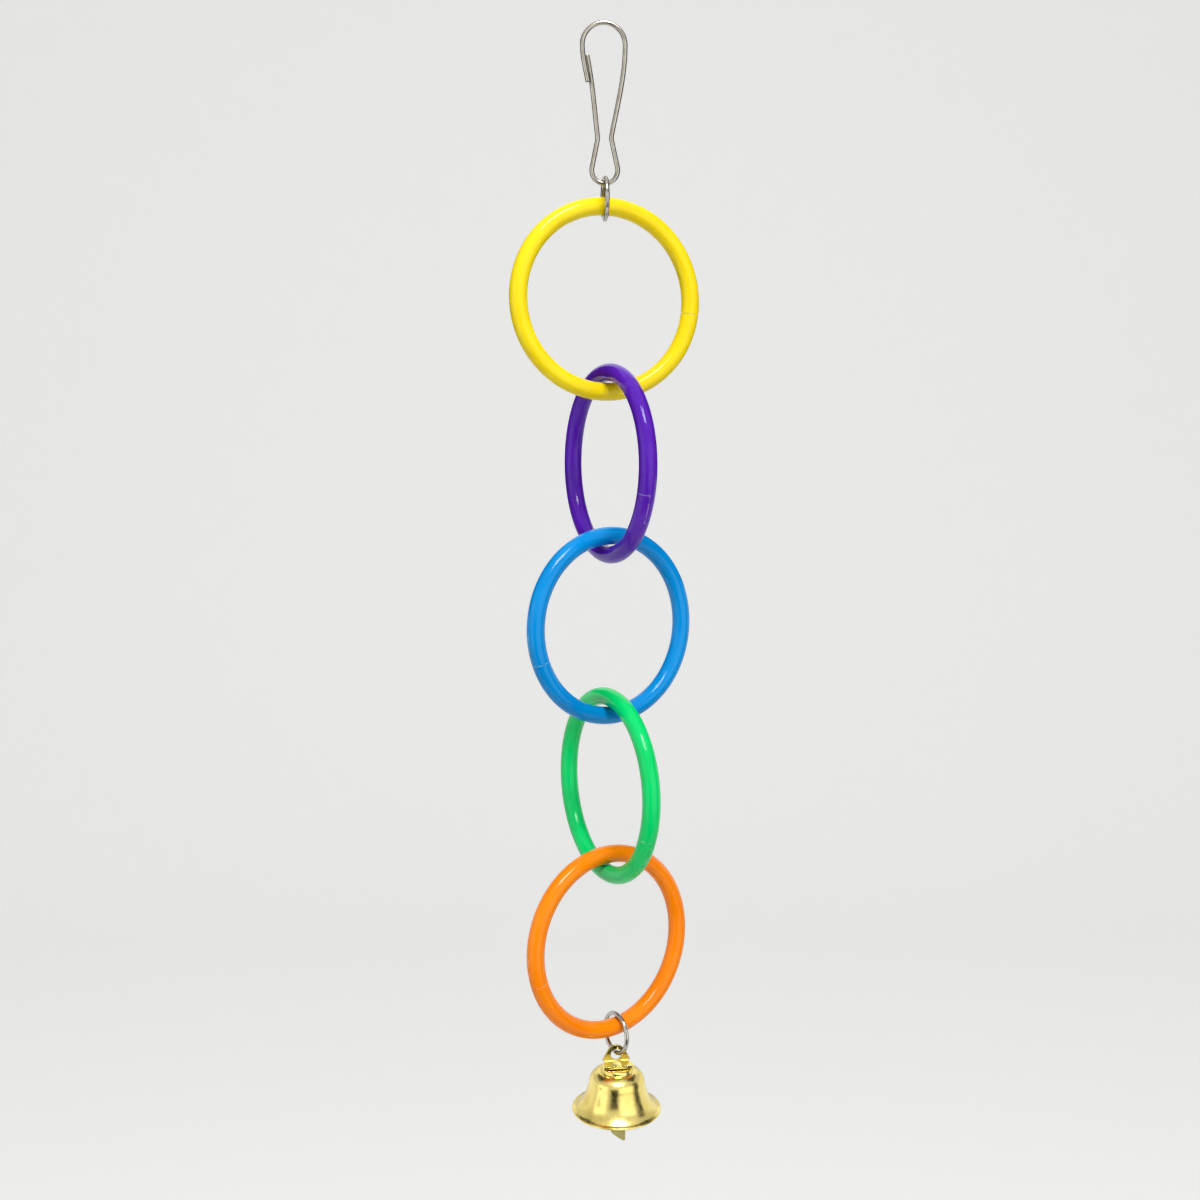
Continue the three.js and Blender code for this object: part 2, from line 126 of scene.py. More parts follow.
def new_finish(name, settings, patterns=None):
    """A material with one Principled shader: its constants, and the noise that varies its other inputs.

    Each pattern gives the size of its patches in millimetres and its detail, and then the steps of the base
    colour, the range of the roughness, or the height in millimetres by which the surface rises.
    """
    finish = bpy.data.materials.new(name)
    tree = empty_tree(finish)
    shader = add_node(tree, "ShaderNodeBsdfPrincipled", settings)
    add_node(tree, "ShaderNodeOutputMaterial", links={"Surface": shader.outputs[0]})
    for driven, (size_mm, detail, gives) in (patterns or {}).items():
        place = add_node(tree, "ShaderNodeTexCoord").outputs["Object"]
        grain = {"Scale": 1 / (size_mm * MM), "Detail": detail}
        noise = add_node(tree, "ShaderNodeTexNoise", grain, {"Vector": place}).outputs[0]
        if driven == "Base Color":
            varied = add_node(tree, "ShaderNodeValToRGB", links={"Fac": noise}, stops=gives)
        elif driven == "Roughness":
            spread = {"From Min": NOISE_LOW, "From Max": NOISE_HIGH, "To Min": gives[0], "To Max": gives[1]}
            varied = add_node(tree, "ShaderNodeMapRange", spread, {"Value": noise})
        else:
            relief = {"Strength": RELIEF_STRENGTH, "Distance": gives * MM}
            varied = add_node(tree, "ShaderNodeBump", relief, {"Height": noise})
        tree.links.new(varied.outputs[0], shader.inputs[driven])
    return finish


def add_object(name, data):
    """An object of the scene, at the origin."""
    thing = bpy.data.objects.new(name, data)
    bpy.context.scene.collection.objects.link(thing)
    return thing


def add_mesh(bm, name, finishes):
    """Turns a shape into an object of the scene with its finishes."""
    mesh = bpy.data.meshes.new(name)
    bm.to_mesh(mesh)
    bm.free()
    for finish in finishes:
        mesh.materials.append(finish)
    return add_object(name, mesh)


def finish_piece(bm, name, finishes, body=None, nodes=()):
    """Turns a shape in millimetres into a named piece that rides on its body and stands for its solids."""
    bmesh.ops.remove_doubles(bm, verts=bm.verts, dist=SAME_PLACE)
    bmesh.ops.recalc_face_normals(bm, faces=bm.faces)
    bmesh.ops.scale(bm, vec=(MM, MM, MM), verts=bm.verts)
    for face in bm.faces:
        face.smooth = True
    for edge in bm.edges:
        edge.smooth = len(edge.link_faces) == 2 and edge.calc_face_angle(0) < math.radians(SMOOTH_UNDER)
    piece = add_mesh(bm, name, finishes)
    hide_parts(*nodes)
    if body:
        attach(piece, body)
    return piece


def curve_points(p0, p1, p2, p3, count):
    """Points along a smooth curve from p0 to p3 that leaves towards p1 and comes in from p2."""
    points = []
    for i in range(count + 1):
        t = i / count
        s = 1 - t
        points.append(p0 * s**3 + p1 * 3 * s * s * t + p2 * 3 * s * t * t + p3 * t**3)
    return points


def bend_points(x, z, radius, start, end, count, depths=(0, 0)):
    """Points round a bend in the hook's upright plane, from angle to angle in degrees."""
    points = []
    for i in range(count + 1):
        t = i / count
        angle = math.radians(start + (end - start) * t)
        depth = depths[0] + (depths[1] - depths[0]) * t
        points.append(Vector((x + radius * math.cos(angle), depth, z + radius * math.sin(angle))))
    return points


def leg_points(side, spread, end, end_lean, end_depth):
    """Wire from the neck's bend up to the top of a leg."""
    angle = math.radians(180 - spread if side > 0 else spread)
    across = side * neck_aside + NECK_BEND * math.cos(angle)
    start = Vector((across, 0, NECK_BEND * math.sin(angle) - NECK_DROP))
    third = (end.z - start.z) / 3
    low = Vector((start.x + third * side * math.tan(math.radians(spread)), end_depth / 2, start.z + third))
    high = Vector((end.x - third * side * math.tan(math.radians(end_lean)), end_depth, end.z - third))
    return curve_points(start, low, high, Vector((end.x, end_depth, end.z)), LEG_STEPS)


def neck_points(side, spread):
    """The neck's bend, from the straight wire below it to the leg above."""
    low = 90 + shank_angle if side > 0 else 90 - shank_angle
    high = 180 - spread if side > 0 else spread
    return bend_points(side * neck_aside, -NECK_DROP, NECK_BEND, low, high, NECK_STEPS)


def joined(*runs):
    """Runs of points end to end, with no point twice."""
    points = [p for run in runs for p in run]
    return points[:1] + [p for last, p in zip(points, points[1:]) if (p - last).length > SAME_PLACE]


def extend(bm, edges):
    """Extrudes a line of edges, and gives the new points and the new edges."""
    grown = bmesh.ops.extrude_edge_only(bm, edges=edges)["geom"]
    verts = [g for g in grown if isinstance(g, bmesh.types.BMVert)]
    grown_edges = [g for g in grown if isinstance(g, bmesh.types.BMEdge)]
    return verts, [e for e in grown_edges if all(v in verts for v in e.verts)]


def draw_wire(bm, path):
    """Draws the wire's section from point to point along a path, and gives the faces that close its ends."""
    facing = (path[1] - path[0]).to_track_quat("Z", "Y")
    place = Matrix.Translation(path[0]) @ facing.to_matrix().to_4x4()
    made = bmesh.ops.create_circle(bm, segments=WIRE_SIDES, radius=WIRE / 2, matrix=place)
    ring = list({e for v in made["verts"] for e in v.link_edges})
    first = bmesh.ops.contextual_create(bm, geom=ring)["faces"]
    for i in range(1, len(path)):
        ahead = path[min(i + 1, len(path) - 1)] - path[i - 1]
        facing = (facing @ Vector((0, 0, 1))).rotation_difference(ahead) @ facing
        moved = Matrix.Translation(path[i]) @ facing.to_matrix().to_4x4()
        verts, ring = extend(bm, ring)
        bmesh.ops.transform(bm, matrix=moved @ place.inverted(), verts=verts)
        place = moved
    last = bmesh.ops.contextual_create(bm, geom=ring)["faces"]
    return first[0], last[0]


def darken_wire_end(bm, face):
    """Gives the wire's last length, where it was sheared off, the dark finish of its end."""
    end = face.calc_center_median()
    for near in bm.faces:
        if (near.calc_center_median() - end).length < DARK_END_LENGTH:
            near.material_index = 1


def round_off(bm, geom, radius, segments, affect="EDGES"):
    """Rounds sharp edges or corners with a true arc."""
    bmesh.ops.bevel(
        bm,
        geom=geom,
        offset=radius,
        segments=segments,
        affect=affect,
        profile=0.5,
        material=-1,
        clamp_overlap=True,
    )


neck_rise = -NECK_DROP - low_centre
neck_reach = math.hypot(neck_aside, neck_rise)
shank_angle = math.degrees(math.atan2(neck_rise, neck_aside) + math.asin((LOW_BEND + NECK_BEND) / neck_reach))
cut_run = curve_points(
    Vector((-TOP_BEND, -GATE_DEPTH, top_centre)),
    Vector((-TOP_BEND, -GATE_DEPTH, top_centre + (-CUT_DROP - top_centre) / 3)),
    Vector((CUT_TUCK / 2 - TOP_BEND, -GATE_DEPTH, top_centre + (-CUT_DROP - top_centre) * CUT_TURN_SHARE)),
    Vector((CUT_TUCK - TOP_BEND, -GATE_DEPTH, -CUT_DROP)),
    CUT_STEPS,
)
frame_path = joined(
    cut_run[::-1],
    bend_points(0, top_centre, TOP_BEND, 180, 0, TOP_STEPS, (-GATE_DEPTH, 0)),
    leg_points(1, FRAME_SPREAD, Vector((TOP_BEND, 0, top_centre)), 0, 0)[::-1],
    neck_points(1, FRAME_SPREAD)[::-1],
    bend_points(0, low_centre, LOW_BEND, shank_angle - 90, -180, LOW_STEPS),
)
tip_share = (TIP_DROP + top_centre) / (CUT_DROP + top_centre)
tip_beside = cut_run[round(tip_share * CUT_STEPS)]
arm_tip = Vector((tip_beside.x + TIP_BESIDE, 0, -TIP_DROP))
arm_path = joined(
    bend_points(0, low_centre, LOW_BEND, 180, 270 - shank_angle, ARM_LOW_STEPS),
    neck_points(-1, ARM_SPREAD),
    leg_points(-1, ARM_SPREAD, arm_tip, FRAME_SPREAD, GATE_DEPTH),
)

# Satin nickel plate on drawn spring wire: a warm grey that the wire's drawing has left a little uneven,
# with faint clouding from handling
nickel = new_finish(
    "nickel_plated_spring_wire",
    {"Metallic": 1},
    {
        "Base Color": (2.5, 2, [(0.3, "#9d978c"), (0.7, "#b5b0a5")]),
        "Roughness": (0.8, 3, (0.2, 0.28)),
        "Normal": (1.5, 2, 0.006),
    },
)

# The wire's sheared end: a dull metal, coloured much darker than the plate
dark_wire_end = new_finish(
    "dark_sheared_end",
    {"Metallic": 1, "Roughness": 0.5},
    {"Base Color": (0.3, 3, [(0.3, "#262320"), (0.7, "#45413c")])},
)

bm = bmesh.new()
cut_face = draw_wire(bm, frame_path)[0]
darken_wire_end(bm, cut_face)
round_off(bm, list(cut_face.edges), WIRE_END_ROUND, WIRE_END_STEPS)
finish_piece(bm, "hook_wire", [nickel, dark_wire_end], "hook", ["hook_frame"])

bm = bmesh.new()
tip_face = draw_wire(bm, arm_path)[1]
darken_wire_end(bm, tip_face)
round_off(bm, list(tip_face.edges), WIRE_END_ROUND, WIRE_END_STEPS)
arm = finish_piece(bm, "hook_spring_arm", [nickel, dark_wire_end], nodes=["hook_latch_arm"])
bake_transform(arm)


# Split rings: two loops of the same plated wire, coiled, cut and closed until the sheared ends meet,
# then tumbled with their burrs off. One joins the hook to the chain, and the other carries the bell.
SPLIT_RING_WIDTH = 11.4
SPLIT_RING_GAP = 0.15
SPLIT_RING_JOINT = 150
SPLIT_RING_STEPS = 120
SPLIT_RING_END_ROUND = 0.07
SPLIT_RING_END_STEPS = 2
SPLIT_RING_TURNS = {"top_jump_ring": -84, "bell_jump_ring": -58}


def middle(node):
    """The middle of a solid's box, in millimetres."""
    low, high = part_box(node)
    return (low + high) / 2 / MM


def hang(bm, place, turn):
    """Puts a ring that was shaped upright at the origin where it hangs, turned about the plumb line."""
    hung = Matrix.Translation(place) @ Matrix.Rotation(math.radians(turn), 4, "Z")
    bmesh.ops.transform(bm, matrix=hung, verts=bm.verts)


# Nickel plate on tumbled wire: smoother than the hook's, so that dark and light stand in it side by side
bright_nickel = new_finish(
    "bright_nickel_plated_wire",
    {"Metallic": 1},
    {
        "Base Color": (2.5, 2, [(0.3, "#a39f96"), (0.7, "#bdb9b1")]),
        "Roughness": (0.8, 3, (0.1, 0.17)),
    },
)


def split_ring(node, turn):
    """A ring of wire whose two ends all but meet."""
    bend = (SPLIT_RING_WIDTH - WIRE) / 2
    half_gap = math.degrees(SPLIT_RING_GAP / 2 / bend)
    joint = (SPLIT_RING_JOINT + half_gap, SPLIT_RING_JOINT + 360 - half_gap)
    bm = bmesh.new()
    ends = draw_wire(bm, bend_points(0, 0, bend, *joint, SPLIT_RING_STEPS))
    for end in ends:
        end.material_index = 1
    round_off(bm, [e for end in ends for e in end.edges], SPLIT_RING_END_ROUND, SPLIT_RING_END_STEPS)
    hang(bm, middle(node), turn)
    name = node.replace("jump", "split")
    finish_piece(bm, name, [bright_nickel, dark_wire_end], node, [node])


for node, turn in SPLIT_RING_TURNS.items():
    split_ring(node, turn)


# Chain rings: glossy moulded plastic, 50 mm across with a 4.5 mm round section. Each is moulded open
# and snapped shut on the next one by a half-lap joint, which shows as two hairlines across the ring,
# one on each face, and one along it between them.
RING_WIDTH = 50
RING_SECTION = 4.5
RING_LAP = 7
RING_GAP = 0.06
RING_SIDES = 40
RING_STEPS = 160
LAP_STEPS = 6
RING_ARRIS = 0.09
ARRIS_STEPS = 2
SHARP_OVER = 50
IN_PLANE = 1e-5


def moulded_plastic(name, dark, plain, light):
    """Glossy moulded plastic: an even colour that shifts a little with its flow, and a fine soft waviness."""
    return new_finish(
        name,
        {"IOR": 1.49, "Specular IOR Level": 0.2},
        {
            "Base Color": (14, 2, [(0.25, dark), (0.5, plain), (0.8, light)]),
            "Roughness": (3, 4, (0.09, 0.15)),
            "Normal": (1.8, 2, 0.01),
        },
    )


def whitened_edge(name, plain, pale):
    """The arris of the snap joint, where snapping it shut has stressed the plastic pale here and there."""
    return new_finish(
        name,
        {"IOR": 1.49, "Roughness": 0.4, "Specular IOR Level": 0.1},
        {"Base Color": (1.5, 2, [(0.38, plain), (0.6, pale)])},
    )


def soften_edges(piece, width_mm):
    """Rounds the edges where a piece's faces meet sharply."""
    edges = piece.modifiers.new("edges", "BEVEL")
    edges.width = width_mm * MM
    edges.segments = ARRIS_STEPS
    edges.limit_method = "ANGLE"
    edges.angle_limit = math.radians(SHARP_OVER)
    return edges


def lap_tongue(bm, ring, side, sweep):
    """Closes one end of the ring: half of its section goes on past it as the tongue of the lap joint."""
    on_flat = [v for v in {v for e in ring for v in e.verts} if abs(v.co.y) < IN_PLANE]
    chord = bmesh.ops.contextual_create(bm, geom=on_flat)["edges"][0]
    half = [e for e in ring if side * sum(v.co.y for v in e.verts) < 0]
    bmesh.ops.contextual_create(bm, geom=half + [chord])
    tongue = [e for e in ring if side * sum(v.co.y for v in e.verts) > 0] + [chord]
    before = set(bm.verts)
    spun = bmesh.ops.spin(bm, geom=tongue, cent=(0, 0, 0), axis=(0, -1, 0), angle=sweep, steps=LAP_STEPS)
    end = [g for g in spun["geom_last"] if isinstance(g, bmesh.types.BMEdge)]
    bmesh.ops.contextual_create(bm, geom=end)
    flat = [v for v in bm.verts if v not in before and abs(v.co.y) < IN_PLANE]
    bmesh.ops.translate(bm, vec=(0, side * RING_GAP / 4, 0), verts=flat)


def chain_ring(node, turn, joint, finishes):
    """One ring, spun from its section and closed by its lap joint."""
    bend = (RING_WIDTH - RING_SECTION) / 2
    lap = RING_LAP / bend
    gap = RING_GAP / bend
    bm = bmesh.new()
    start = Matrix.Rotation(-math.radians(joint), 4, "Y")
    section = start @ Matrix.Translation((bend, 0, 0))
    made = bmesh.ops.create_circle(bm, segments=RING_SIDES, radius=RING_SECTION / 2, matrix=section)
    first = list({e for v in made["verts"] for e in v.link_edges})
    around = 2 * math.pi - lap
    spun = bmesh.ops.spin(bm, geom=first, cent=(0, 0, 0), axis=(0, -1, 0), angle=around, steps=RING_STEPS)
    last = [g for g in spun["geom_last"] if isinstance(g, bmesh.types.BMEdge)]
    lap_tongue(bm, first, 1, gap - lap)
    lap_tongue(bm, last, -1, lap - gap)
    hang(bm, middle(node), turn)
    piece = finish_piece(bm, node.replace("_ring", "_chain_ring"), finishes, node, [node])
    soften_edges(piece, RING_ARRIS).material = 1


# Each ring's darkest, middle and lightest colour and the pale edge of its joint, and then the turn at
# which it hangs and the angle round the ring at which its joint lies
RING_COLOURS = {
    "yellow": ("#efd00a", "#f4d910", "#f9e220", "#fbee84"),
    "purple": ("#4d179f", "#541ba9", "#5f24b6", "#a98ad6"),
    "blue": ("#007fc8", "#0088d2", "#0291dc", "#86cdf2"),
    "green": ("#02c962", "#04d26a", "#0ada74", "#90e8b8"),
    "orange": ("#f67e02", "#fb8605", "#fe8f0a", "#fcb878"),
}
RING_PLACES = {
    "yellow": (20, -8),
    "purple": (-66, -17.7),
    "blue": (36, 200),
    "green": (-63, -24.3),
    "orange": (37, 197),
}
for colour, (dark, plain, light, pale) in RING_COLOURS.items():
    turn, joint = RING_PLACES[colour]
    finishes = [
        moulded_plastic(f"moulded_plastic_{colour}", dark, plain, light),
        whitened_edge(f"whitened_joint_edge_{colour}", plain, pale),
    ]
    chain_ring(f"{colour}_ring", turn, joint, finishes)


# Bell: one pressing of thin sheet, brass plated and bright, with a flared mouth whose edge is rolled
# into a fine bead, a rounded shoulder, and a low round boss with the slot that the hanger goes through.
BELL_SHEET = 0.6
BELL_HEIGHT = 10.9
BELL_MOUTH_RADIUS = 11.55
BELL_SHOULDER_RADIUS = 6.7
BELL_SHOULDER_BEND = 3.4
BELL_TAPER = 0.11
BELL_FLARE_LENGTH = 2.6
BELL_STEPS = 144
WALL_STEPS = 30
SHOULDER_END = 5
SHOULDER_STEPS = 10
BEAD_RADIUS = 0.3
BEAD_ARC = (60, -200)
BEAD_STEPS = 14
# Share of the bead's radius, up from the rim, that is painted as shade
RIM_SHADE_SHARE = 0.6
BOSS_RADIUS = 4.15
BOSS_HEIGHT = 1
BOSS_BEND = 0.45
BOSS_BEND_STEPS = 6
BOSS_FOOT_BEND = 0.2
BOSS_FOOT_STEPS = 3
LEVEL_SLACK = 0.05
EAR_BACK = 1.3
EAR_HOLE_DROP = 0.5
EAR_BASE_DROP = 1.7
HANGER_SHEET = 0.7
REST_GAP = 0.3
TAB_WIDTH = 3.6
BELL_TURN = 10
BELL_TILT = 6

# Levels are measured down from the middle of the split ring's wire, on which the ear hangs
foot_top = -EAR_HOLE_DROP - EAR_BASE_DROP
foot_bottom = foot_top - HANGER_SHEET
boss_top = foot_bottom - REST_GAP
rim_level = boss_top - BOSS_HEIGHT - BELL_HEIGHT
bell_origin = middle("bell_jump_ring") - Vector((0, 0, (SPLIT_RING_WIDTH - WIRE) / 2))
bell_place = (
    Matrix.Translation(bell_origin)
    @ Matrix.Rotation(math.radians(BELL_TURN), 4, "Z")
    @ Matrix.Rotation(math.radians(BELL_TILT), 4, "X")
)


def wall_radius(height):
    """Outside radius of the bell's wall at a height above its rim."""
    flare = BELL_MOUTH_RADIUS - BELL_SHOULDER_RADIUS - BELL_TAPER * BELL_HEIGHT
    straight = BELL_SHOULDER_RADIUS + BELL_TAPER * (BELL_HEIGHT - height)
    return straight + flare * math.exp(-height / BELL_FLARE_LENGTH)


def arc(centre, radius, start, end, count):
    """Points of a profile round a bend, as (radius, height), from angle to angle in degrees."""
    points = []
    for i in range(count + 1):
        angle = math.radians(start + (end - start) * i / count)
        points.append((centre[0] + radius * math.cos(angle), centre[1] + radius * math.sin(angle)))
    return points


def bell_side(inset):
    """One face of the sheet from the middle of the boss down to just above the bead."""
    bend_level = BELL_HEIGHT - BELL_SHOULDER_BEND
    bend_axis = wall_radius(bend_level) - BELL_SHOULDER_BEND
    boss_out = BOSS_RADIUS - inset
    crown = BELL_HEIGHT + BOSS_HEIGHT - inset
    boss_foot = (boss_out + BOSS_FOOT_BEND, BELL_HEIGHT - inset + BOSS_FOOT_BEND)
    points = [(0, crown)]
    points += arc((boss_out - BOSS_BEND, crown - BOSS_BEND), BOSS_BEND, 90, 0, BOSS_BEND_STEPS)
    points += arc(boss_foot, BOSS_FOOT_BEND, 180, 270, BOSS_FOOT_STEPS)
    points += arc((bend_axis, bend_level), BELL_SHOULDER_BEND - inset, 90, SHOULDER_END, SHOULDER_STEPS)
    for i in range(1, WALL_STEPS + 1):
        height = bend_level * (1 - i / WALL_STEPS) + 2 * BEAD_RADIUS * i / WALL_STEPS
        points.append((wall_radius(height) - inset, height))
    return points


# Brass plate on pressed sheet: pale gold mirror, a little wavy from the press, with faint tarnish
# that greens and dulls it in patches
brass = new_finish(
    "brass_plated_sheet",
    {"Metallic": 1},
    {
        "Base Color": (5, 3, [(0.25, "#d4bb62"), (0.5, "#ead47c"), (0.8, "#f4e391")]),
        "Roughness": (1.6, 3, (0.18, 0.3)),
        "Normal": (4, 2, 0.02),
    },
)

# The lowest faces of the rolled edge: a duller, darker gold, painted shade under the rim
rim_shade_brass = new_finish(
    "rim_shade_brass_plate",
    {"Metallic": 1, "Roughness": 0.34},
    {"Base Color": (1.5, 3, [(0.3, "#8a7535"), (0.7, "#b39d52")])},
)

bm = bmesh.new()
bead = (wall_radius(0) - BEAD_RADIUS, BEAD_RADIUS)
profile = bell_side(0) + arc(bead, BEAD_RADIUS, *BEAD_ARC, BEAD_STEPS) + bell_side(BELL_SHEET)[::-1]
verts = [bm.verts.new((radius, 0, height)) for radius, height in profile]
edges = [bm.edges.new(pair) for pair in zip(verts, verts[1:])]
bmesh.ops.spin(
    bm,
    geom=verts + edges,
    cent=(0, 0, 0),
    axis=(0, 0, 1),
    angle=2 * math.pi,
    steps=BELL_STEPS,
    use_merge=True,
)
bmesh.ops.remove_doubles(bm, verts=bm.verts, dist=SAME_PLACE)
boss_sheet = BELL_HEIGHT + BOSS_HEIGHT - BELL_SHEET - LEVEL_SLACK
slot_half = (TAB_WIDTH / 2 + REST_GAP, HANGER_SHEET / 2 + REST_GAP)
for axis in (0, 1):
    for side in (-1, 1):
        normal = Vector((0, 0, 0))
        normal[axis] = side
        top = [f for f in bm.faces if f.calc_center_median().z > boss_sheet]
        geom = top + list({e for f in top for e in f.edges}) + list({v for f in top for v in f.verts})
        cut = normal * slot_half[axis]
        bmesh.ops.bisect_plane(bm, geom=geom, dist=IN_PLANE, plane_co=cut, plane_no=normal)
in_slot = []
for face in bm.faces:
    place = face.calc_center_median()
    if place.z > boss_sheet and abs(place.x) < slot_half[0] and abs(place.y) < slot_half[1]:
        in_slot.append(face)
bmesh.ops.delete(bm, geom=in_slot, context="FACES")
rims = [e for e in bm.edges if e.is_boundary and e.verts[0].co.z > BELL_HEIGHT]
bmesh.ops.bridge_loops(bm, edges=rims)
# The lowest faces of the bead take the darker gold: painted shade under the rim
for face in bm.faces:
    if face.calc_center_median().z < BEAD_RADIUS * RIM_SHADE_SHARE:
        face.material_index = 1
pressed = bell_place @ Matrix.Translation((0, -EAR_BACK, rim_level))
bmesh.ops.transform(bm, matrix=pressed, verts=bm.verts)
finish_piece(bm, "bell_pressing", [brass, rim_shade_brass], "bell", ["bell_shell"])


# Hanger: a small stamping of the same plated sheet, folded at its foot. The ear with the eye for the
# split ring stands up, the foot lies on the boss, and a tab goes down through the slot to the clapper.
EYE_RADIUS = 1.5
EAR_ARCH = 2.5
EAR_HALF = 3.75
FOOT_HALF = 4.05
FOOT_FRONT = 3.65
FOOT_CORNER = 0.55
FOOT_CORNER_STEPS = 6
FOOT_NECK_AHEAD = 1.2
FOOT_NECK_HALF = 3.9
FOLD_RADIUS = 0.5
FOLD_STEPS = 6
TAB_DROP = 4.9
TAB_EYE_RADIUS = 1.2
TAB_STRIP = 0.6
PLATE_SIDES = 64
HANGER_ARRIS = 0.1
# Levels about the fold, in millimetres, where the ear's painted shade begins and where it is full
EAR_SHADE_FROM = -0.1
EAR_SHADE_FULL = 0.5
CLOUD_SIZE = 3
TINY = 1e-6

# Brass plate on a stamping: the same gold on the foot, satin where the die has left the sheet a little
# matt. Up from the fold the ear is painted olive, a darker copy of the same gold: painted shade.
stamped_brass = new_finish("stamped_brass_plate", {"Metallic": 1}, {"Roughness": (1, 4, (0.18, 0.28))})
tree = stamped_brass.node_tree
place = add_node(tree, "ShaderNodeTexCoord").outputs["Object"]
settings = {"Scale": 1 / (CLOUD_SIZE * MM), "Detail": 3}
clouds = add_node(tree, "ShaderNodeTexNoise", settings, {"Vector": place})
clouded = {"Fac": clouds.outputs[0]}
bright = add_node(tree, "ShaderNodeValToRGB", links=clouded, stops=[(0.3, "#ead678"), (0.7, "#fdee9a")])
# A darker, olive copy of the plate's colour: painted shade on the upright ear
shaded_ear_colour = add_node(tree, "ShaderNodeValToRGB", links=clouded, stops=[(0.3, "#a8964c"), (0.7, "#c4b269")])
height = add_node(tree, "ShaderNodeSeparateXYZ", links={"Vector": place})
fold_level = (bell_place @ Vector((0, 0, foot_top))).z
settings = {"From Min": (fold_level + EAR_SHADE_FROM) * MM, "From Max": (fold_level + EAR_SHADE_FULL) * MM}
# 0 on the foot, rising to 1 on the ear just above the fold: the share of painted shade
ear_shade_share = add_node(tree, "ShaderNodeMapRange", settings, {"Value": height.outputs["Z"]})
# The colour sockets of a Mix node go by number, because those of its other types have the same names
mixed = {0: ear_shade_share.outputs[0], 6: bright.outputs[0], 7: shaded_ear_colour.outputs[0]}
plate = add_node(tree, "ShaderNodeMix", {"data_type": "RGBA"}, mixed)
tree.links.new(plate.outputs[2], tree.nodes["Principled BSDF"].inputs["Base Color"])


def thicken(piece, thickness_mm):
    """Gives a piece that was drawn as the middle of its sheet the sheet's thickness."""
    sheet = piece.modifiers.new("sheet", "SOLIDIFY")
    sheet.thickness = thickness_mm * MM
    sheet.offset = 0


def eyed_plate(bm, centre, eye, reach, depth):
    """A flat upright plate round an eye, whose edge is as far out at each angle as reach gives."""
    middle_of_eye = Vector((0, depth, centre))
    place = Matrix.Translation(middle_of_eye) @ Matrix.Rotation(math.pi / 2, 4, "X")
    inner = bmesh.ops.create_circle(bm, segments=PLATE_SIDES, radius=eye, matrix=place)["verts"]
    outer = bmesh.ops.create_circle(bm, segments=PLATE_SIDES, radius=1, matrix=place)["verts"]
    for vert in outer:
        out = vert.co - middle_of_eye
        vert.co = middle_of_eye + out * reach(math.atan2(out.z, out.x))
    loops = list({e for v in inner + outer for e in v.link_edges})
    bmesh.ops.bridge_loops(bm, edges=loops)
    return outer


def ear_reach(angle):
    """From the eye's middle to the edge of the ear: an arch, then straight sides to the base."""
    base = -(EAR_BASE_DROP + HANGER_SHEET / 2 - FOLD_RADIUS)
    corner = Vector((EAR_HALF, -EAR_BASE_DROP))
    touch = math.atan2(corner.y, corner.x) + math.acos(EAR_ARCH / corner.length)
    turned = abs(math.pi / 2 - angle) if angle > -math.pi / 2 else abs(math.pi / 2 - angle - 2 * math.pi)
    from_side = math.pi / 2 - turned
    if from_side > touch:
        return EAR_ARCH
    toward_side = math.cos(from_side - touch)
    side = EAR_ARCH / toward_side if toward_side > 0 else math.inf
    down = base / math.sin(from_side) if from_side < 0 else math.inf
    return min(side, down)


def tab_reach(angle):
    """From the tab's eye to the edge of the tab: straight sides up to the foot, and a round end."""
    if angle < 0:
        return TAB_WIDTH / 2
    up = foot_bottom + HANGER_SHEET / 2 - tab_eye
    return min(TAB_WIDTH / 2 / max(abs(math.cos(angle)), TINY), up / max(math.sin(angle), TINY))


bm = bmesh.new()
outer = eyed_plate(bm, -EAR_HOLE_DROP, EYE_RADIUS, ear_reach, 0)
base_level = min(v.co.z for v in outer)
fold = [e for e in bm.edges if all(abs(v.co.z - base_level) < SAME_PLACE for v in e.verts)]
for _ in range(FOLD_STEPS):
    verts, fold = extend(bm, fold)
    bmesh.ops.rotate(
        bm,
        cent=(0, -FOLD_RADIUS, base_level),
        matrix=Matrix.Rotation(-math.pi / 2 / FOLD_STEPS, 3, "X"),
        verts=verts,
    )
fold_half = max(v.co.x for e in fold for v in e.verts)
for ahead, half in ((FOOT_NECK_AHEAD, FOOT_NECK_HALF), (FOOT_FRONT - FOLD_RADIUS, FOOT_HALF)):
    verts, fold = extend(bm, fold)
    for vert in verts:
        vert.co.x *= half / fold_half
        vert.co.y = -FOLD_RADIUS - ahead
    fold_half = half
corners = [v for v in verts if abs(abs(v.co.x) - FOOT_HALF) < SAME_PLACE]
round_off(bm, corners, FOOT_CORNER, FOOT_CORNER_STEPS, "VERTICES")
tab_eye = foot_bottom - TAB_DROP + TAB_STRIP + TAB_EYE_RADIUS
eyed_plate(bm, tab_eye, TAB_EYE_RADIUS, tab_reach, -EAR_BACK)
bmesh.ops.transform(bm, matrix=bell_place, verts=bm.verts)
hanger = finish_piece(bm, "hanger_stamping", [stamped_brass], "bell", ["bell_hanger"])
thicken(hanger, HANGER_SHEET)
soften_edges(hanger, HANGER_ARRIS)


